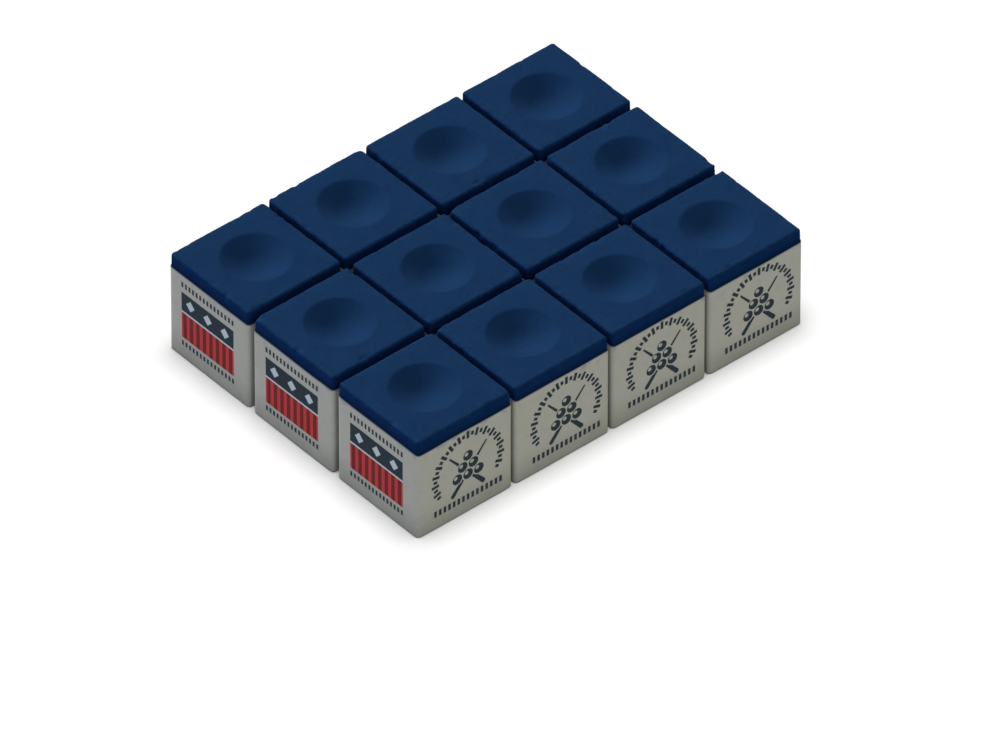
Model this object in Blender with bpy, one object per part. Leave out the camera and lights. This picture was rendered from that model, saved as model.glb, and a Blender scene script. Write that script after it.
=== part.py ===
"""A dozen cue chalk cubes standing in a block: four columns along X and three rows along Y.

Each cube is a pressed chalk block with a shallow round dimple in its top, and a paper label
wrapped once round its four sides and lapped over its own start. Every cube lifts straight up
out of the block, so each has an empty on its own vertical axis that its two pieces hang from.
"""

import math

import bmesh
import bpy

MM = 0.001
QUARTER_TURN = math.pi / 2

# The block of cubes
COLUMNS = 4
ROWS = 3
CUBE_WIDTH = 22.2 * MM  # over the label, 7/8 inch
CUBE_HEIGHT = 22.2 * MM
COLUMN_GAP = 0.5 * MM
ROW_GAP = 1.0 * MM

# The paper label
PAPER = 0.15 * MM
GLUE = 0.05 * MM  # between the chalk and the paper, and between the two layers of the lap
LABEL_FOOT = 0.2 * MM
LABEL_TOP = 19.4 * MM
LAP = 4.0 * MM
LAP_START = -5.4 * MM  # where the strip begins, along X from the middle of the +Y side
RAMP_NEAR = 0.4 * MM  # the strip has climbed over its own start this far before it
RAMP_FAR = 1.6 * MM  # and begins to climb this far before it

# The chalk block
CHALK_HALF = CUBE_WIDTH / 2 - PAPER - GLUE
CORNER_RADIUS = 0.7 * MM
TOP_ROUND = 0.6 * MM
FOOT_CHAMFER = 0.3 * MM
DIMPLE_RADIUS = 6.6 * MM  # where the hollow's cone would meet the flat top
DIMPLE_SLOPE = math.radians(24)
DIMPLE_ROUND = 7.4 * MM  # radius of the hollow's rounded bottom
RIM_ROUND = 1.5 * MM

# How finely round shapes are divided
CORNER_STEPS = 4
TOP_STEPS = 3
RIM_STEPS = 3
DIMPLE_STEPS = 4

RING_POINTS = 4 * (CORNER_STEPS + 2)  # each corner's points and one in the middle of each side


def clear_scene():
    for obj in list(bpy.data.objects):
        bpy.data.objects.remove(obj)


def principled(name, color, roughness):
    material = bpy.data.materials.new(name)
    material.use_nodes = True
    shader = material.node_tree.nodes["Principled BSDF"]
    shader.inputs["Base Color"].default_value = (*color, 1.0)
    shader.inputs["Roughness"].default_value = roughness
    shader.inputs["Metallic"].default_value = 0.0
    return material


def corner_points(quarter, half, radius):
    """The points of one rounded corner and the outward direction at each, anticlockwise."""
    middle = (quarter + 0.5) * QUARTER_TURN
    reach = (half - radius) * math.sqrt(2)
    centre = (reach * math.cos(middle), reach * math.sin(middle))
    found = []
    for step in range(CORNER_STEPS + 1):
        angle = (quarter + step / CORNER_STEPS) * QUARTER_TURN
        out = (math.cos(angle), math.sin(angle))
        found.append(((centre[0] + radius * out[0], centre[1] + radius * out[1]), out))
    return found


def square_ring(half, radius, z):
    """A rounded square that starts in the middle of its +X side."""
    ring = []
    for quarter in range(4):
        side = quarter * QUARTER_TURN
        ring.append((half * math.cos(side), half * math.sin(side), z))
        ring += [(x, y, z) for (x, y), _ in corner_points(quarter, half, radius)]
    return ring


def round_ring(radius, z):
    """A circle with as many points as a square ring, starting on the +X side."""
    turns = [2 * math.pi * index / RING_POINTS for index in range(RING_POINTS)]
    return [(radius * math.cos(turn), radius * math.sin(turn), z) for turn in turns]


def loft(name, rings, material, parent):
    """One closed body through a list of rings, with a flat cap on the first and the last."""
    mesh = bpy.data.meshes.new(name)
    shape = bmesh.new()
    rows = [[shape.verts.new(point) for point in ring] for ring in rings]
    for lower, upper in zip(rows, rows[1:]):
        for index in range(len(lower)):
            before = index - 1
            shape.faces.new((lower[before], lower[index], upper[index], upper[before]))
    shape.faces.new(rows[0])
    shape.faces.new(rows[-1])
    bmesh.ops.recalc_face_normals(shape, faces=shape.faces)
    shape.to_mesh(mesh)
    shape.free()
    mesh.materials.append(material)
    obj = bpy.data.objects.new(name, mesh)
    obj.parent = parent
    bpy.context.scene.collection.objects.link(obj)
    return obj


def side_rings():
    """From the chamfered foot up the sides and over the rounded top edge."""
    rings = [
        square_ring(CHALK_HALF - FOOT_CHAMFER, CORNER_RADIUS - FOOT_CHAMFER, 0),
        square_ring(CHALK_HALF, CORNER_RADIUS, FOOT_CHAMFER),
    ]
    for step in range(TOP_STEPS + 1):
        angle = QUARTER_TURN * step / TOP_STEPS
        inset = TOP_ROUND * (1 - math.cos(angle))
        z = CUBE_HEIGHT - TOP_ROUND * (1 - math.sin(angle))
        rings.append(square_ring(CHALK_HALF - inset, CORNER_RADIUS - inset, z))
    return rings


def dimple_rings():
    """From the rounded rim on the flat top down a cone and over the hollow's rounded bottom."""
    rim = DIMPLE_RADIUS + RIM_ROUND * math.tan(DIMPLE_SLOPE / 2)
    meet = DIMPLE_ROUND * math.sin(DIMPLE_SLOPE)  # where the cone runs into the rounded bottom
    meet_z = CUBE_HEIGHT - (DIMPLE_RADIUS - meet) * math.tan(DIMPLE_SLOPE)
    centre_z = meet_z + DIMPLE_ROUND * math.cos(DIMPLE_SLOPE)
    rings = []
    for step in range(RIM_STEPS + 1):
        angle = DIMPLE_SLOPE * step / RIM_STEPS
        z = CUBE_HEIGHT - RIM_ROUND * (1 - math.cos(angle))
        rings.append(round_ring(rim - RIM_ROUND * math.sin(angle), z))
    for step in range(DIMPLE_STEPS):
        angle = DIMPLE_SLOPE * (1 - step / DIMPLE_STEPS)
        z = centre_z - DIMPLE_ROUND * math.cos(angle)
        rings.append(round_ring(DIMPLE_ROUND * math.sin(angle), z))
    return rings


def strip_section(point, out, lift):
    """The four corners of the strip's section, standing on the chalk's side at a point."""
    offsets = (GLUE + lift, GLUE + lift + PAPER)
    inner, outer = [(point[0] + out[0] * d, point[1] + out[1] * d) for d in offsets]
    return [
        (*inner, LABEL_FOOT),
        (*outer, LABEL_FOOT),
        (*outer, LABEL_TOP),
        (*inner, LABEL_TOP),
    ]


def strip_sections():
    """Once round the block from the +Y side, then up over the strip's own start."""
    back = (0.0, 1.0)
    climbed = PAPER + GLUE
    sections = [strip_section((LAP_START, CHALK_HALF), back, 0)]
    for quarter in (1, 2, 3, 0):
        for point, out in corner_points(quarter, CHALK_HALF, CORNER_RADIUS):
            sections.append(strip_section(point, out, 0))
    ends = ((RAMP_FAR, 0), (RAMP_NEAR, climbed), (-LAP, climbed))
    for before, lift in ends:
        point = (LAP_START + before, CHALK_HALF)
        sections.append(strip_section(point, back, lift))
    return sections


def add_cube(column, row, chalk, paper):
    """One cube: a chalk block and its label, hung from an empty under the cube's centre."""
    place = f"r{row + 1}c{column + 1}"
    holder = bpy.data.objects.new(f"cube_{place}", None)
    holder.location = (
        (column - (COLUMNS - 1) / 2) * (CUBE_WIDTH + COLUMN_GAP),
        (row - (ROWS - 1) / 2) * (CUBE_WIDTH + ROW_GAP),
        0,
    )
    bpy.context.scene.collection.objects.link(holder)
    loft(f"chalk_block_{place}", side_rings() + dimple_rings(), chalk, holder)
    loft(f"paper_label_{place}", strip_sections(), paper, holder)


def main():
    clear_scene()
    chalk = principled("pressed_chalk", (0.009, 0.032, 0.093), 0.95)
    paper = principled("label_paper", (0.35, 0.355, 0.305), 0.8)
    for row in range(ROWS):
        for column in range(COLUMNS):
            add_cube(column, row, chalk, paper)


main()
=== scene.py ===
"""Looks for a block of cue chalk cubes: pressed chalk with worn edges, wrapped in printed paper.

Lengths in the geometry are in metres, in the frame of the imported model. Lengths in the print are
in millimetres, across and up each face of a label as someone looking at that face sees it.
"""

import math
import random
from typing import NamedTuple

import bpy
import numpy as np
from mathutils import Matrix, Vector, noise

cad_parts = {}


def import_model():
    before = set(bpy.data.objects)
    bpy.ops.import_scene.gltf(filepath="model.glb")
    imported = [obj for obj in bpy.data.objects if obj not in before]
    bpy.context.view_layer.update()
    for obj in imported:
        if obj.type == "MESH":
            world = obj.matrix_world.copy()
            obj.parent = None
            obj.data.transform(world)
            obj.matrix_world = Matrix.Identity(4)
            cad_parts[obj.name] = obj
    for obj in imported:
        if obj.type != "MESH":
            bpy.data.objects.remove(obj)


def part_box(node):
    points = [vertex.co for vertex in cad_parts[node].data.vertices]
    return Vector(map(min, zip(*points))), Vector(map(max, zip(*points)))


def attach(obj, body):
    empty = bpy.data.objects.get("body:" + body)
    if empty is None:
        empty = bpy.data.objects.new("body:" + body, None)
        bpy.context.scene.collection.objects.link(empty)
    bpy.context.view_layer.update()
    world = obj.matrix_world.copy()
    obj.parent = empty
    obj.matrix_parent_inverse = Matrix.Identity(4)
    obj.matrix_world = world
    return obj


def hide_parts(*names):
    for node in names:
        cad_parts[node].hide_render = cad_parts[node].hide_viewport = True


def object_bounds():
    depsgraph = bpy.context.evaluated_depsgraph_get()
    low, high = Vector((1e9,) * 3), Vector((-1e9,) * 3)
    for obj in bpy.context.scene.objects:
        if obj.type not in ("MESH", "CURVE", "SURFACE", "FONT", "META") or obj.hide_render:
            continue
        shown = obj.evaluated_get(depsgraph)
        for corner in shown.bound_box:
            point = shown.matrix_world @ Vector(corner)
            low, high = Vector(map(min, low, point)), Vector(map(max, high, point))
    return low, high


MM = 0.001
QUARTER_TURN = math.pi / 2

# The block as the CAD model has it or a little softer, apart from what its nodes' boxes say
ROWS = 3
COLUMNS = 4
CORNER_RADIUS = 0.7 * MM
TOP_ROUND = 0.6 * MM
FOOT_ROUND = 0.3 * MM
DIMPLE_RADIUS = 6.6 * MM  # where the hollow's cone would meet the flat top
DIMPLE_SLOPE = math.radians(24)
DIMPLE_ROUND = 7.4 * MM  # radius of the hollow's rounded bottom
RIM_ROUND = 1.6 * MM
LAP_START = 5.4 * MM
LAP = 4.0 * MM
RAMP_NEAR = 0.3 * MM
RAMP_FAR = 1.8 * MM

# How finely the chalk is divided
SIDE_STEPS = 46
CORNER_STEPS = 8
FOOT_STEPS = 3
COVERED_STEPS = 3
BARE_STEPS = 8
TOP_STEPS = 6
FLAT_STEPS = 12
RIM_STEPS = 6
CONE_STEPS = 8
DIMPLE_STEPS = 8
DIMPLE_FLOOR = 0.08  # share of the dimple's slope where its last ring is closed
SHARP_ANGLE = math.radians(50)

# How finely the label is divided
STRIP_SIDE_STEPS = 24
STRIP_CORNER_STEPS = 7
RAMP_STEPS = 6
LEVELS = 14

# The chalk that shows above the label
BARE = 2.9 * MM
SHADE_LINE_HEIGHT = 1.5 * MM  # height of the painted shade line just above the label

# Wear on the chalk, all of it inward
WEAR_REACH = 1.2 * MM  # how fast the wear fades away from an edge
RUB_DEPTH = 0.11 * MM
RUB_SIZE = 2.6 * MM  # how big the lumps are that the rubbing leaves
CRUMBLE_DEPTH = 0.12 * MM
CRUMB_SIZE = 0.9 * MM
CRUMB_GROUPING = 0.6  # how much crumbs keep to where the lumps are
CRUMB_START = 0.25  # how strong the noise has to be to break a crumb out
WAVE_DEPTH = 0.03 * MM
WAVE_SIZE = 7.0 * MM
CHIPS = 8
CHIP_RADII = (0.35 * MM, 0.95 * MM)
CHIP_DEPTH = 0.24  # of a chip's radius

# The paper
PAPER = 0.12 * MM
SNUG = 0.02 * MM  # least gap between chalk and paper
PAPER_CORNER = CORNER_RADIUS + SNUG + PAPER / 2  # of the middle of the paper round a corner
SLACK = 0.05 * MM  # how much further the paper may stand off
LAP_LIFT = 0.16 * MM
BULGE_SIZE = 7.0 * MM  # how wide the swells are where it does
EDGE_DIP = 0.22 * MM  # how far the label's top edge wanders down
EDGE_WANDER = 6.0 * MM  # how long the waves are in which it does
RIM_DUST_AND_SHADE = 0.3 * MM  # how far the blue along the label's cut top edge reaches down, partly dust and partly painted shade
EDGE_SPREAD = 50  # each label reads its edge from its own place in the noise, within this range
BULGE_SPREAD = 90  # and its swells within this one
PRINT_SHIFT = 0.22  # how far off its place a print may be, in millimetres

# The strip's faces are 0 on the -X side, 1 on the -Y side, 2 on the +X side and 3 on the +Y side,
# where it ends over its own start. The stretch before face 0, under the lap, is face -1.
FIRST_FACE = -1
LAST_FACE = 3

# The camera and what it frames
VIEW_AZIMUTH = math.radians(-40.5)
VIEW_ELEVATION = math.radians(41.0)
CAMERA_DISTANCE = 4.5
SENSOR_MM = 36.0
FRAMED_WIDTH = 178.1 * MM
AIM_RIGHT = 2.5 * MM  # how far the picture's centre is right of the middle of the block's top
AIM_DOWN = 24.2 * MM

# The stage
FLOOR_HALF = 8.0
FLOOR_WHITE = (0.9, 0.9, 0.9)
WHITE = (1.0, 1.0, 1.0)
COOL = (0.60, 0.85, 1.50)
WARM = (1.05, 1.0, 0.50)
WORLD_STRENGTH = 0.15


# ---------------------------------------------------------------- shader arithmetic


class Field:
    """A number that varies over a surface: arithmetic on it adds the nodes that work it out."""

    def __init__(self, tree, socket):
        self.tree = tree
        self.socket = socket

    def math(self, operation, *others, first=None):
        node = self.tree.nodes.new("ShaderNodeMath")
        node.operation = operation
        values = (self, *others) if first is None else (first, self)
        for slot, value in zip(node.inputs, values):
            feed(self.tree, slot, value)
        return Field(self.tree, node.outputs[0])

    def __add__(self, other):
        return self.math("ADD", other)

    def __sub__(self, other):
        return self.math("SUBTRACT", other)

    def __rsub__(self, other):
        return self.math("SUBTRACT", first=other)

    def __mul__(self, other):
        return self.math("MULTIPLY", other)

    def __truediv__(self, other):
        return self.math("DIVIDE", other)

    def __neg__(self):
        return self.math("MULTIPLY", -1.0)

    def __abs__(self):
        return self.math("ABSOLUTE")

    def root(self):
        return self.math("SQRT")

    def nearest(self):
        return self.math("ROUND")

    def odd(self):
        """1 where the whole number is odd and 0 where it is even."""
        return abs(self).math("MODULO", 2.0)

    def least(self, other):
        return self.math("MINIMUM", other)

    def most(self, other):
        return self.math("MAXIMUM", other)

    def clamped(self):
        return self.most(0.0).least(1.0)

    def rises(self, low, high):
        """0 at low and 1 at high and beyond, smoothly, whichever of the two is greater."""
        node = self.tree.nodes.new("ShaderNodeMapRange")
        node.interpolation_type = "SMOOTHSTEP"
        for slot, value in zip(node.inputs, (self, low, high, 0.0, 1.0)):
            feed(self.tree, slot, value)
        return Field(self.tree, node.outputs[0])


def feed(tree, slot, value):
    """Links a field or a socket to a slot, or sets the slot to a plain value."""
    if isinstance(value, Field):
        tree.links.new(value.socket, slot)
    elif isinstance(value, bpy.types.NodeSocket):
        tree.links.new(value, slot)
    else:
        slot.default_value = value


def new_material(name):
    material = bpy.data.materials.new(name)
    material.use_nodes = True
    return material, material.node_tree, material.node_tree.nodes["Principled BSDF"]


def rest_place(tree):
    """Where a point of the surface is on its piece, which stays the same when the piece moves."""
    return tree.nodes.new("ShaderNodeTexCoord").outputs["Object"]


def rest_normal(tree):
    """Which way the surface faces on its piece, which stays the same when the piece moves."""
    return tree.nodes.new("ShaderNodeTexCoord").outputs["Normal"]


def components(tree, vector):
    """The x, y and z of a vector, as fields."""
    split = tree.nodes.new("ShaderNodeSeparateXYZ")
    tree.links.new(vector, split.inputs[0])
    return [Field(tree, output) for output in split.outputs]


def attribute(tree, name, output):
    node = tree.nodes.new("ShaderNodeAttribute")
    node.attribute_name = name
    return node.outputs[output]


def stretched(tree, place, scale):
    """The same place with each axis scaled, so that what is drawn on it is narrower along some."""
    node = tree.nodes.new("ShaderNodeVectorMath")
    node.operation = "MULTIPLY"
    tree.links.new(place, node.inputs[0])
    node.inputs[1].default_value = scale
    return node.outputs[0]


def speckle(tree, place, per_unit, detail=2.0, roughness=0.5):
    """Noise from 0 to 1 with about this many grains to each unit of place."""
    node = tree.nodes.new("ShaderNodeTexNoise")
    node.inputs["Scale"].default_value = per_unit
    node.inputs["Detail"].default_value = detail
    node.inputs["Roughness"].default_value = roughness
    tree.links.new(place, node.inputs["Vector"])
    return Field(tree, node.outputs["Fac"])


def mix(tree, amount, first, second):
    """The first colour where amount is 0 and the second where it is 1."""
    node = tree.nodes.new("ShaderNodeMix")
    node.data_type = "RGBA"
    feed(tree, node.inputs[0], amount)
    for slot, color in ((node.inputs[6], first), (node.inputs[7], second)):
        feed(tree, slot, color if isinstance(color, bpy.types.NodeSocket) else (*color, 1.0))
    return node.outputs[2]


def raise_surface(tree, shader, height, depth):
    """Bumps the surface by a field that runs from about 0 to 1, times depth in metres."""
    node = tree.nodes.new("ShaderNodeBump")
    node.inputs["Distance"].default_value = depth
    feed(tree, node.inputs["Height"], height)
    tree.links.new(node.outputs["Normal"], shader.inputs["Normal"])


# ---------------------------------------------------------------- the print on the labels

# A printed shape is a field too: the distance in millimetres to its edge, negative inside it.


def bar(x, z, centre, half):
    """A rectangle, from half its width and half its height."""
    return (abs(x - centre[0]) - half[0]).most(abs(z - centre[1]) - half[1])


def disc(x, z, centre, radius):
    across, up = x - centre[0], z - centre[1]
    return (across * across + up * up).root() - radius


def diamond(x, z, centre, half):
    """A square on its point, from half its width and half its height."""
    across, up = abs(x - centre[0]) * half[1], abs(z - centre[1]) * half[0]
    return (across + up - half[0] * half[1]) / math.hypot(*half)


def stick(x, z, start, end, radii):
    """A straight stick from start to end with a radius at each."""
    run = (end[0] - start[0], end[1] - start[1])
    across, up = x - start[0], z - start[1]
    along = ((across * run[0] + up * run[1]) / (run[0] ** 2 + run[1] ** 2)).clamped()
    off_x, off_z = across - along * run[0], up - along * run[1]
    return (off_x * off_x + off_z * off_z).root() - radii[0] - along * (radii[1] - radii[0])


def repeated(value, pitch):
    """The distance from the middle of the nearest repeat."""
    return value - (value / pitch).nearest() * pitch


def dashes(x, z, centre, half, pitch, width):
    """A row of plain upright dashes as long as a bar is tall."""
    return bar(x, z, centre, half).most(abs(repeated(x - centre[0], pitch)) - width / 2)


# The panel, on the two faces across the ends of the rows
PANEL_X = -0.1
PANEL_HALF = 7.2
BAND_Z = 13.1
BAND_HALF = 2.15
SIGHT_PITCH = 4.75
SIGHT_HALF = (1.15, 1.2)
BARS_Z = 7.6
BARS_HALF = 2.95
BAR_PITCH = 1.8
BAR_WIDTH = 0.85
PALE_LINE = 0.4  # between the band and the bars
PANEL_ROWS = ((17.0, 0.6), (3.35, 0.55))  # the height of each row of dashes and half its size
PANEL_DASH = (0.99, 0.54)  # pitch and width

# The emblem, on the two faces across the ends of the columns
EMBLEM = (0.75, 10.3)
RING_RADIUS = 7.6
RING_TICKS = 46
TICK_HALF = 0.33
TICK_LONG = 0.85
TICK_SHORT = 0.45
RING_OPEN = math.radians(121)  # the ring of ticks ends this far round from its top
ROW_Z = 3.4
ROW_HALF = (8.1, 0.7)
ROW_DASH = (1.08, 0.62)
RACK_ROWS = 3
RACK_FOOT = 8.75
BALL_RADIUS = 1.12
BALL_PITCH = 2.5
RACK_RISE = BALL_PITCH * math.sin(math.radians(60))  # from one row of the triangle to the next
GLINT = (0.36, 0.42)  # how far up and left of a ball's centre its bare spot is, and its radius
KEYLINE = 0.26  # paper left bare round a ball where it covers a cue
CUE_FOOT = (-3.5, 5.3)
CUE_TIP = (4.2, 14.35)
CUE_RADII = (0.5, 0.2)

# How the ink lies
INK_EDGE = 0.05  # half the width in which a printed edge fades
INK_RAGGED = 0.16  # how far a printed edge strays, from one side to the other
INK_MISSING = 0.45  # how much of the ink is gone where the paper didn't take it


def inked(shape):
    """1 inside a printed shape and 0 outside it, with a slightly soft edge."""
    return shape.rises(INK_EDGE, -INK_EDGE)


def panel_ink(x, z):
    """A dark band with diamond sights left out of it, and a row of dashes above and below."""
    band = bar(x, z, (PANEL_X, BAND_Z), (PANEL_HALF, BAND_HALF))
    ink = band.most(-diamond(repeated(x - PANEL_X, SIGHT_PITCH), z, (0.0, BAND_Z), SIGHT_HALF))
    for height, half in PANEL_ROWS:
        ink = ink.least(dashes(x, z, (PANEL_X, height), (PANEL_HALF, half), *PANEL_DASH))
    return ink


def tick_ring(x, z):
    """Long and short ticks by turns round most of a circle, open at the bottom."""
    across, up = x - EMBLEM[0], z - EMBLEM[1]
    radius = (across * across + up * up).root()
    turn = across.math("ARCTAN2", up)
    pitch = 2 * math.pi / RING_TICKS
    count = (turn / pitch).nearest()
    length = count.odd() * (TICK_SHORT - TICK_LONG) + TICK_LONG
    side = abs(turn - count * pitch) * radius - TICK_HALF
    ends = (abs(turn) - RING_OPEN) * RING_RADIUS
    return side.most(abs(radius - RING_RADIUS) - length).most(ends)


def crossed_cues(x, z):
    """Two tapered cues, each the other's mirror image."""
    cues = []
    for side in (-1, 1):
        foot = (EMBLEM[0] + side * CUE_FOOT[0], CUE_FOOT[1])
        tip = (EMBLEM[0] + side * CUE_TIP[0], CUE_TIP[1])
        cues.append(stick(x, z, foot, tip, CUE_RADII))
    return cues[0].least(cues[1])


def rack_of_balls(x, z):
    """A triangle of balls with its point up: their outline, and the same with a glint on each."""
    outline, ink = None, None
    for row in range(RACK_ROWS):
        height = RACK_FOOT + row * RACK_RISE
        for place in range(row - RACK_ROWS + 1, RACK_ROWS - row, 2):
            centre = (EMBLEM[0] + place * BALL_PITCH / 2, height)
            ball = disc(x, z, centre, BALL_RADIUS)
            glint = disc(x, z, (centre[0] - GLINT[0], centre[1] + GLINT[0]), GLINT[1])
            printed = ball.most(-glint)
            outline = ball if outline is None else outline.least(ball)
            ink = printed if ink is None else ink.least(printed)
    return outline, ink


def emblem_ink(x, z):
    """The ring of ticks, a rack of balls in front of crossed cues, and a row of dashes below."""
    outline, balls = rack_of_balls(x, z)
    cues = crossed_cues(x, z).most(KEYLINE - outline)
    row = dashes(x, z, (EMBLEM[0], ROW_Z), ROW_HALF, *ROW_DASH)
    return tick_ring(x, z).least(row).least(cues).least(balls)


# ---------------------------------------------------------------- materials

CHALK_DEEP = (0.0026, 0.0160, 0.0490)
CHALK_PALE = (0.0044, 0.0222, 0.0650)
# The pores' colour, which also paints the shade line just above the label
CHALK_PORE_AND_SHADE_LINE = (0.0010, 0.0078, 0.0270)
# The upright faces' colours: partly cleaner cut chalk, partly painted shade in a deeper blue
CHALK_SIDE_CLEAN_AND_SHADE_DEEP = (0.0003, 0.0110, 0.0540)
CHALK_SIDE_CLEAN_AND_SHADE_PALE = (0.0008, 0.0155, 0.0720)
# Pale chalk dust, also used for the painted shade along the labels' cut top edges
CHALK_DUST_AND_EDGE_SHADE = (0.0090, 0.0340, 0.0900)
PAPER_COLOR = (0.332, 0.335, 0.301)
PAPER_SHADE = (0.288, 0.290, 0.261)
PAPER_FIBER = (0.400, 0.405, 0.367)
# The colour of the painted shade towards the foot of each label
PAPER_FOOT_SHADE = (0.165, 0.170, 0.148)
DARK_INK = (0.007, 0.018, 0.028)
PALE_INK = (0.370, 0.430, 0.455)
RED_INK = (0.365, 0.028, 0.030)
DEEP_RED_INK = (0.135, 0.004, 0.005)

# Heights on a label, in millimetres, where the painted shade by the foot begins and is full, and
# so for the dust
FOOT_SHADE_HEIGHTS = (7.5, -0.5)
DUST_HEIGHTS = (17.2, 19.4)

FIBER_STRETCH = (0.9, 5.0, 1.0)  # fibres lie along the strip, so they are packed closer up it
FIBER_SCALE = 1.3
CHALK_ROUGHNESS = 0.95
CHALK_SPECULAR = 0.03
CHALK_BUMP = 0.06 * MM
PAPER_ROUGHNESS = 0.82
PAPER_SPECULAR = 0.2
PAPER_BUMP = 0.02 * MM


def chalk_material(label_top):
    """Pressed powder: fine grains and pores in a slightly cloudy blue, paler dust where it rubs.

    Its sides, which no cue rubs, are a deeper blue, partly cleaner cut chalk and partly painted
    shade, with a painted shade line just above the label.
    """
    material, tree, shader = new_material("pressed_chalk_looks")
    place = rest_place(tree)
    facing_up = abs(components(tree, rest_normal(tree))[2])
    above_label = components(tree, place)[2] - label_top
    # Painted shade: a darker line on the upright chalk just above the label's top edge
    painted_shade_line = above_label.rises(SHADE_LINE_HEIGHT, 0.0) * facing_up.rises(0.4, 0.1)
    clouds = speckle(tree, place, 0.30 / MM, detail=3.0)
    grains = speckle(tree, place, 5.0 / MM, detail=3.0, roughness=0.65)
    pores = speckle(tree, place, 2.6 / MM, detail=1.0).rises(0.66, 0.76)
    wear = Field(tree, attribute(tree, "rubbed", "Fac"))
    patches = speckle(tree, place, 1.1 / MM, detail=4.0).rises(0.42, 0.68)
    tone = (clouds * 0.7 + grains * 0.6 - 0.15).clamped()
    rubbed_color = mix(tree, tone, CHALK_DEEP, CHALK_PALE)
    # Painted shade, partly real: the upright faces and grooves get a deeper blue than the top
    side_clean_and_shade_color = mix(tree, tone, CHALK_SIDE_CLEAN_AND_SHADE_DEEP, CHALK_SIDE_CLEAN_AND_SHADE_PALE)
    color = mix(tree, facing_up.rises(0.2, 0.9), side_clean_and_shade_color, rubbed_color)
    color = mix(tree, pores * 0.6, color, CHALK_PORE_AND_SHADE_LINE)
    color = mix(tree, wear * patches * 0.2, color, CHALK_DUST_AND_EDGE_SHADE)
    # Paints the shade line above the label in the pores' dark colour
    color = mix(tree, painted_shade_line * 0.7, color, CHALK_PORE_AND_SHADE_LINE)
    tree.links.new(color, shader.inputs["Base Color"])
    raise_surface(tree, shader, grains * 0.8 - pores * 0.5 + clouds * 0.5, CHALK_BUMP)
    shader.inputs["Roughness"].default_value = CHALK_ROUGHNESS
    shader.inputs["Specular IOR Level"].default_value = CHALK_SPECULAR
    return material


def bare_paper(tree, place, face_place, z):
    """Greyish stock with short fibres, with painted shade darkening it towards its foot: its
    colour, and how it stands up.
    """
    clouds = speckle(tree, place, 0.25 / MM, detail=3.0)
    tooth = speckle(tree, place, 7.0 / MM, detail=2.0)
    fibers = speckle(tree, stretched(tree, face_place, FIBER_STRETCH), FIBER_SCALE, detail=3.0)
    color = mix(tree, (clouds * 0.6 + tooth * 0.6 - 0.1).clamped(), PAPER_SHADE, PAPER_COLOR)
    color = mix(tree, fibers.rises(0.60, 0.74) * 0.35, color, PAPER_FIBER)
    # Painted shade: the paper darkens towards its foot, where the floor's shade falls
    color = mix(tree, z.rises(*FOOT_SHADE_HEIGHTS) * (clouds * 0.5 + 0.3), color, PAPER_FOOT_SHADE)
    return color, tooth * 0.6 + fibers * 0.4


def paper_material(run):
    """The label: paper, print with slightly uneven edges and coverage, and blue dust on top, with
    its cut top edge blued all along, partly dust and partly painted shade.

    run is how much of the strip goes to one face, in millimetres.
    """
    material, tree, shader = new_material("label_paper_looks")
    place = rest_place(tree)
    face_place = attribute(tree, "face_place", "Vector")
    along, z, rim = components(tree, face_place)
    face = (along / run).nearest()
    x = along - face * run
    emblem_face = face.odd()

    color, height = bare_paper(tree, place, face_place, z)
    ragged = (speckle(tree, place, 4.0 / MM, detail=2.0) - 0.5) * INK_RAGGED
    missing = speckle(tree, place, 9.0 / MM, detail=1.0).rises(0.64, 0.80)
    cover = 1.0 - missing * INK_MISSING

    stripes = abs(repeated(x - PANEL_X, BAR_PITCH)) - BAR_WIDTH / 2
    red = mix(tree, inked(stripes), DEEP_RED_INK, RED_INK)
    bars = bar(x, z, (PANEL_X, BARS_Z), (PANEL_HALF, BARS_HALF)) + ragged
    color = mix(tree, inked(bars) * (1.0 - emblem_face) * cover, color, red)

    pale_middle, pale_half = BAND_Z - PALE_LINE / 2, BAND_HALF + PALE_LINE / 2
    pale = bar(x, z, (PANEL_X, pale_middle), (PANEL_HALF, pale_half)) + ragged
    color = mix(tree, inked(pale) * (1.0 - emblem_face), color, PALE_INK)

    panel = panel_ink(x, z) * (1.0 - emblem_face)
    ink = panel + emblem_ink(x, z) * emblem_face + ragged
    color = mix(tree, inked(ink) * cover, color, DARK_INK)

    smudge = speckle(tree, place, 0.55 / MM, detail=4.0).rises(0.50, 0.72)
    top_dust = z.rises(*DUST_HEIGHTS) * 0.30
    # Blue chalk dust in patches near the top; the cut top edge is blued all along, partly dust and
    # partly painted shade
    dust_and_edge_shade = (smudge * (top_dust + 0.06)).most(rim * 0.85)
    color = mix(tree, dust_and_edge_shade, color, CHALK_DUST_AND_EDGE_SHADE)
    tree.links.new(color, shader.inputs["Base Color"])
    raise_surface(tree, shader, height, PAPER_BUMP)
    shader.inputs["Roughness"].default_value = PAPER_ROUGHNESS
    shader.inputs["Specular IOR Level"].default_value = PAPER_SPECULAR
    return material


# ---------------------------------------------------------------- meshes


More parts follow.
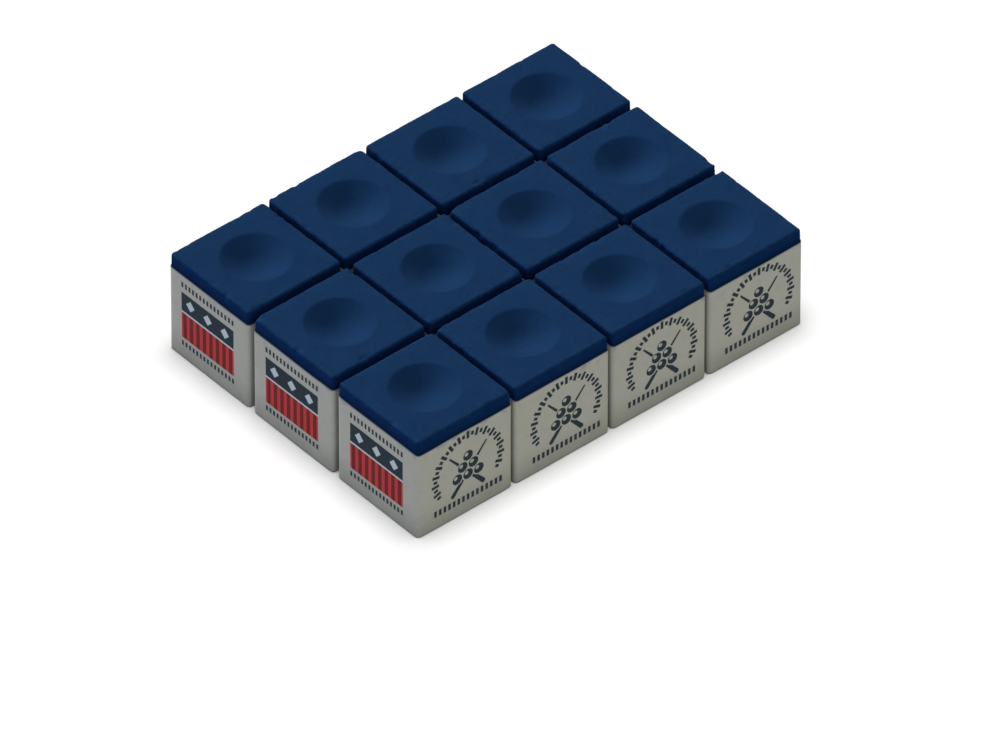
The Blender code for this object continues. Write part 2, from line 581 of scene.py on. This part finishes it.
def loft(name, rings, material, attributes):
    """One closed mesh through rings of points, with a cap on the first and the last ring.

    The points of a ring run anticlockwise for someone whom the rings advance towards.
    """
    count, size = rings.shape[:2]
    index = np.arange(count * size).reshape(count, size)
    after = np.roll(index, -1, axis=1)
    quads = np.stack((index[:-1], after[:-1], after[1:], index[1:]), axis=-1).reshape(-1, 4)
    faces = [index[0][::-1].tolist(), *quads.tolist(), index[-1].tolist()]
    mesh = bpy.data.meshes.new(name)
    mesh.from_pydata(rings.reshape(-1, 3).tolist(), [], faces)
    for key, kind, field, values in attributes:
        layer = mesh.attributes.new(key, kind, "POINT")
        layer.data.foreach_set(field, np.ascontiguousarray(values, np.float32).ravel())
    mesh.polygons.foreach_set("use_smooth", [True] * len(faces))
    mesh.set_sharp_from_angle(angle=SHARP_ANGLE)
    mesh.materials.append(material)
    obj = bpy.data.objects.new(name, mesh)
    bpy.context.scene.collection.objects.link(obj)
    return obj


class Station(NamedTuple):
    """One ring of the chalk's surface: a rounded square, a circle or something between."""

    z: float
    tilt: float  # how far the surface faces up: a right angle on the flat top
    inset: float = 0.0  # of the square from the block's sides
    radius: float = 0.0  # of the circle
    blend: float = 0.0  # 0 is the square and 1 is the circle
    rub: float = 0.0  # how much the edge beside it wears, from 0 to 1


def outer_stations(height):
    """From the underside up the sides and over the rounded top edge."""
    stations = []
    for step in range(FOOT_STEPS):
        angle = QUARTER_TURN * step / FOOT_STEPS
        inset, z = FOOT_ROUND * (1 - math.sin(angle)), FOOT_ROUND * (1 - math.cos(angle))
        stations.append(Station(z, angle - QUARTER_TURN, inset))
    shoulder = height - TOP_ROUND
    covered = np.linspace(FOOT_ROUND, height - BARE, COVERED_STEPS, endpoint=False)
    bare = np.linspace(height - BARE, shoulder, BARE_STEPS, endpoint=False)
    for z in (*covered, *bare):
        stations.append(Station(z, 0.0, rub=math.exp((z - shoulder) / WEAR_REACH)))
    for step in range(TOP_STEPS + 1):
        angle = QUARTER_TURN * step / TOP_STEPS
        inset, z = TOP_ROUND * (1 - math.cos(angle)), shoulder + TOP_ROUND * math.sin(angle)
        stations.append(Station(z, angle, inset, rub=1.0))
    return stations


def inner_stations(height, half):
    """From the rounded top edge across the flat top, down a cone and over a rounded bottom."""
    rim = DIMPLE_RADIUS + RIM_ROUND * math.tan(DIMPLE_SLOPE / 2)
    flat = half - TOP_ROUND - rim
    stations = []
    for share in np.linspace(0, 1, FLAT_STEPS, endpoint=False)[1:]:
        rub = math.exp(-share * flat / WEAR_REACH)
        stations.append(Station(height, QUARTER_TURN, TOP_ROUND, rim, share, rub))
    for step in range(RIM_STEPS):
        slope = DIMPLE_SLOPE * step / RIM_STEPS
        z = height - RIM_ROUND * (1 - math.cos(slope))
        radius = rim - RIM_ROUND * math.sin(slope)
        stations.append(Station(z, QUARTER_TURN + slope, radius=radius, blend=1.0))
    above, below = rim - RIM_ROUND * math.sin(DIMPLE_SLOPE), DIMPLE_ROUND * math.sin(DIMPLE_SLOPE)
    for radius in np.linspace(above, below, CONE_STEPS, endpoint=False):
        z = height - (DIMPLE_RADIUS - radius) * math.tan(DIMPLE_SLOPE)
        stations.append(Station(z, QUARTER_TURN + DIMPLE_SLOPE, radius=radius, blend=1.0))
    below_z = height - (DIMPLE_RADIUS - below) * math.tan(DIMPLE_SLOPE)
    centre_z = below_z + DIMPLE_ROUND * math.cos(DIMPLE_SLOPE)
    for share in np.linspace(1, DIMPLE_FLOOR, DIMPLE_STEPS):
        slope = DIMPLE_SLOPE * share
        z, radius = centre_z - DIMPLE_ROUND * math.cos(slope), DIMPLE_ROUND * math.sin(slope)
        stations.append(Station(z, QUARTER_TURN + slope, radius=radius, blend=1.0))
    return stations


def square_template():
    """For each point of a rounded square, two directions, arm and out, and one for a circle.

    On a square of half size h with corner radius r the point is arm * (h - r) + out * r. The
    circle's points are evenly spaced, with one beside the middle of each side and corner.
    """
    arms, outs = [], []
    for quarter in range(4):
        turn = quarter * QUARTER_TURN
        side = np.array((math.cos(turn), math.sin(turn)))
        along = np.array((-side[1], side[0]))
        for share in np.linspace(-1, 1, SIDE_STEPS, endpoint=False):
            arms.append(side + along * share)
            outs.append(side)
        for angle in np.linspace(0, QUARTER_TURN, CORNER_STEPS, endpoint=False):
            arms.append(side + along)
            outs.append(side * math.cos(angle) + along * math.sin(angle))
    steps = np.arange(len(arms)) - SIDE_STEPS / 2
    turns = 2 * math.pi * steps / len(arms)
    return np.array(arms), np.array(outs), np.column_stack((np.cos(turns), np.sin(turns)))


def unworn_block(half, height):
    """The block about its own axis: points, outward directions and how much each one rubs."""
    arms, outs, radial = square_template()
    points, normals, rubs = [], [], []
    for at in outer_stations(height) + inner_stations(height, half):
        square = arms * (half - CORNER_RADIUS) + outs * (CORNER_RADIUS - at.inset)
        flat = square * (1 - at.blend) + radial * at.radius * at.blend
        sideways = (radial if at.blend else outs) * math.cos(at.tilt)
        points.append(np.insert(flat, 2, at.z, axis=1))
        normals.append(np.insert(sideways, 2, math.sin(at.tilt), axis=1))
        rubs.append(np.full(len(flat), at.rub))
    return np.array(points), np.array(normals), np.array(rubs)


def noise_at(points, size):
    """Smooth noise from -1 to 1 at each point, with lumps of about this size."""
    return np.array([noise.noise(Vector(point / size)) for point in points.reshape(-1, 3)])


def wear_depth(points, rubs, chance):
    """How deep each point is worn: long waves all over, rubbing and crumbs by edges, chips."""
    lumps = noise_at(points, RUB_SIZE)
    crumbs = noise_at(points, CRUMB_SIZE) + lumps * CRUMB_GROUPING - CRUMB_START
    rub = rubs.ravel()
    depth = WAVE_DEPTH * (1 + noise_at(points, WAVE_SIZE)) / 2
    depth += rub * RUB_DEPTH * (1 + lumps) / 2
    depth += rub * CRUMBLE_DEPTH * np.clip(crumbs, 0, 1)
    edge = np.flatnonzero(rub == 1.0)
    places = points.reshape(-1, 3)
    for _ in range(CHIPS):
        centre = places[chance.choice(edge)]
        radius = chance.uniform(*CHIP_RADII)
        reach = np.linalg.norm(places - centre, axis=1) / radius
        depth += CHIP_DEPTH * radius * np.sqrt(np.clip(1 - reach**2, 0, 1))
    return depth


def make_chalk(place, material, chance):
    """The worn chalk block of one cube, inside the box of its CAD node."""
    node = f"chalk_block_{place}"
    low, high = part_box(node)
    middle = np.array(((low.x + high.x) / 2, (low.y + high.y) / 2, low.z))
    points, normals, rubs = unworn_block((high.x - low.x) / 2, high.z - low.z)
    points = points + middle
    depth = wear_depth(points, rubs, chance)
    points = points - normals * depth.reshape(rubs.shape)[:, :, None]
    rubbed = ("rubbed", "FLOAT", "value", rubs)
    return loft(f"worn_chalk_{place}", points, material, [rubbed]), node


def strip_path(half):
    """Along the label from its start, which the lap covers, to its end on top of the lap.

    The place on the chalk's side, the outward direction there, how much of the strip lies before
    it, how far the strip is lifted over its own start, and how loose it is there, from 0 to 1.
    """
    flat = half - CORNER_RADIUS
    stations = []
    for face in range(FIRST_FACE, LAST_FACE + 1):
        turn = math.pi + face * QUARTER_TURN
        out = np.array((math.cos(turn), math.sin(turn)))
        right = np.array((-out[1], out[0]))
        middle = face * face_run(half)
        ends_here = face == LAST_FACE
        first = LAP_START if face == FIRST_FACE else -flat
        last = LAP_START + LAP if ends_here else flat
        steps = math.ceil(STRIP_SIDE_STEPS * (last - first) / (2 * flat))
        across = np.linspace(first, last, steps, endpoint=ends_here)
        if ends_here:
            ramp = np.linspace(LAP_START - RAMP_FAR, LAP_START - RAMP_NEAR, RAMP_STEPS)
            across = np.union1d(across, ramp)
        for x in across:
            climbed = np.clip((x - LAP_START + RAMP_FAR) / (RAMP_FAR - RAMP_NEAR), 0, 1)
            lift = LAP_LIFT * climbed**2 * (3 - 2 * climbed) if ends_here else 0.0
            stations.append((out * half + right * x, out, middle + x, lift, 1 - (x / flat) ** 4))
        if ends_here:
            break
        for angle in np.linspace(0, QUARTER_TURN, STRIP_CORNER_STEPS, endpoint=False):
            bend = out * math.cos(angle) + right * math.sin(angle)
            along = middle + flat + angle * PAPER_CORNER
            stations.append(((out + right) * flat + bend * CORNER_RADIUS, bend, along, 0.0, 0.0))
    return [np.array(column) for column in zip(*stations)]


def face_run(half):
    """How much of the strip goes to one face, from the middle of one corner to the next."""
    return 2 * (half - CORNER_RADIUS) + QUARTER_TURN * PAPER_CORNER


def make_label(place, material, chance):
    """One cube's label: a strip of paper wrapped round the chalk and over its own start."""
    node = f"paper_label_{place}"
    low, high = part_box(f"chalk_block_{place}")
    foot, top = (corner.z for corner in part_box(node))
    half = (high.x - low.x) / 2
    middle = np.array(((low.x + high.x) / 2, (low.y + high.y) / 2))
    places, outs, alongs, lifts, loose = strip_path(half)
    offset = chance.uniform(-1, 1) * PRINT_SHIFT
    seed = chance.uniform(0, 1)
    edge_seed, bulge_seed = seed * EDGE_SPREAD, seed * BULGE_SPREAD
    wander = [noise.noise(Vector((along / EDGE_WANDER, edge_seed, 0))) for along in alongs]
    tops = top - EDGE_DIP * (1 + np.array(wander)) / 2
    rings, prints = [], []
    # 1 at the label's cut top edge, where the blue is painted: partly dust, partly painted shade
    # for the edges seen in the gaps
    rim = np.zeros(2 * LEVELS)
    rim[0] = rim[-1] = 1
    for at in range(len(places)):
        heights = np.append(tops[at], np.linspace(tops[at] - RIM_DUST_AND_SHADE, foot, LEVELS - 1))
        stand = []
        for z in heights:
            bulge = noise.noise(Vector((alongs[at] / BULGE_SIZE, z / BULGE_SIZE, bulge_seed)))
            stand.append(SNUG + lifts[at] + SLACK * loose[at] * (1 + bulge) / 2)
        stand = np.array(stand)[:, None]
        base = middle + places[at]
        outer = np.insert(base + outs[at] * (stand + PAPER), 2, heights, axis=1)
        inner = np.insert(base + outs[at] * stand, 2, heights, axis=1)
        rings.append(np.concatenate((outer, inner[::-1])))
        up = np.concatenate((heights, heights[::-1])) / MM + offset
        across = np.full(2 * LEVELS, alongs[at] / MM - offset)
        prints.append(np.column_stack((across, up, rim)))
    face_place = ("face_place", "FLOAT_VECTOR", "vector", prints)
    return loft(f"printed_label_{place}", np.array(rings), material, [face_place]), node


# ---------------------------------------------------------------- stage


def add_floor():
    mesh = bpy.data.meshes.new("studio_floor")
    corners = [(-1, -1), (1, -1), (1, 1), (-1, 1)]
    mesh.from_pydata([(x * FLOOR_HALF, y * FLOOR_HALF, 0) for x, y in corners], [], [(0, 1, 2, 3)])
    material, _, shader = new_material("studio_floor")
    shader.inputs["Base Color"].default_value = (*FLOOR_WHITE, 1.0)
    shader.inputs["Roughness"].default_value = 1.0
    shader.inputs["Specular IOR Level"].default_value = 0.0
    mesh.materials.append(material)
    floor = bpy.data.objects.new("studio_floor", mesh)
    bpy.context.scene.collection.objects.link(floor)
    return floor


def add_sun(name, azimuth, elevation, strength, spread, color):
    """A broad far light, its angles in degrees.

    Azimuth is the way from the block to the light, turned from +X towards +Y, and spread is how
    wide the light looks from the block.
    """
    light = bpy.data.lights.new(name, "SUN")
    light.energy = strength
    light.angle = math.radians(spread)
    light.color = color
    around, above = math.radians(azimuth), math.radians(elevation)
    flat = math.cos(above)
    towards = Vector((math.cos(around) * flat, math.sin(around) * flat, math.sin(above)))
    obj = bpy.data.objects.new(name, light)
    obj.rotation_euler = towards.to_track_quat("Z", "Y").to_euler()
    bpy.context.scene.collection.objects.link(obj)
    return obj


def light_linked(light, floor, state):
    """Has a light reach the floor only, or everything but the floor."""
    group = bpy.data.collections.new(f"{light.name}_reach")
    group.objects.link(floor)
    group.collection_objects[0].light_linking.link_state = state
    light.light_linking.receiver_collection = group


def add_lights(floor):
    """Soft light on the cubes from behind and all sides, and one straight down on the floor."""
    on_cubes = (
        add_sun("key", 90, 25, 5.5, 10, WHITE),
        add_sun("overhead", 0, 90, 1.9, 110, WHITE),
        add_sun("cool_side", 180, 25, 0.4, 60, COOL),
        add_sun("warm_side", 270, 25, 0.4, 60, WARM),
    )
    for light in on_cubes:
        light_linked(light, floor, "EXCLUDE")
    light_linked(add_sun("on_floor", 0, 90, 3.1, 32, WHITE), floor, "INCLUDE")
    world = bpy.data.worlds.new("studio")
    world.use_nodes = True
    background = world.node_tree.nodes["Background"]
    background.inputs["Color"].default_value = (*WHITE, 1.0)
    background.inputs["Strength"].default_value = WORLD_STRENGTH
    bpy.context.scene.world = world
    bpy.context.scene.view_settings.view_transform = "Standard"


def add_camera(top_middle):
    """Far off with a long lens, so that the rows stay all but parallel."""
    right = Vector((math.cos(VIEW_AZIMUTH), math.sin(VIEW_AZIMUTH), 0))
    flat = math.cos(VIEW_ELEVATION)
    back = Vector((right.y * flat, -right.x * flat, math.sin(VIEW_ELEVATION)))
    aim = top_middle + right * AIM_RIGHT - back.cross(right) * AIM_DOWN
    data = bpy.data.cameras.new("camera")
    data.sensor_width = SENSOR_MM
    data.lens = SENSOR_MM * CAMERA_DISTANCE / FRAMED_WIDTH
    camera = bpy.data.objects.new("camera", data)
    camera.location = aim + back * CAMERA_DISTANCE
    camera.rotation_euler = back.to_track_quat("Z", "Y").to_euler()
    bpy.context.scene.collection.objects.link(camera)
    bpy.context.scene.camera = camera


def main():
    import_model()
    cad_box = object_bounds()
    add_camera(Vector((0, 0, cad_box[1].z)))
    add_lights(add_floor())
    block_low, block_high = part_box("chalk_block_r1c1")
    chalk = chalk_material(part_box("paper_label_r1c1")[1].z)
    paper = paper_material(face_run((block_high.x - block_low.x) / 2) / MM)
    for row in range(1, ROWS + 1):
        for column in range(1, COLUMNS + 1):
            place = f"r{row}c{column}"
            chance = random.Random(place)
            made = (
                (*make_chalk(place, chalk, chance), "pressed_chalk"),
                (*make_label(place, paper, chance), "label_paper"),
            )
            for piece, node, slot in made:
                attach(piece, f"cube_{place}")
                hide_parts(node)


main()
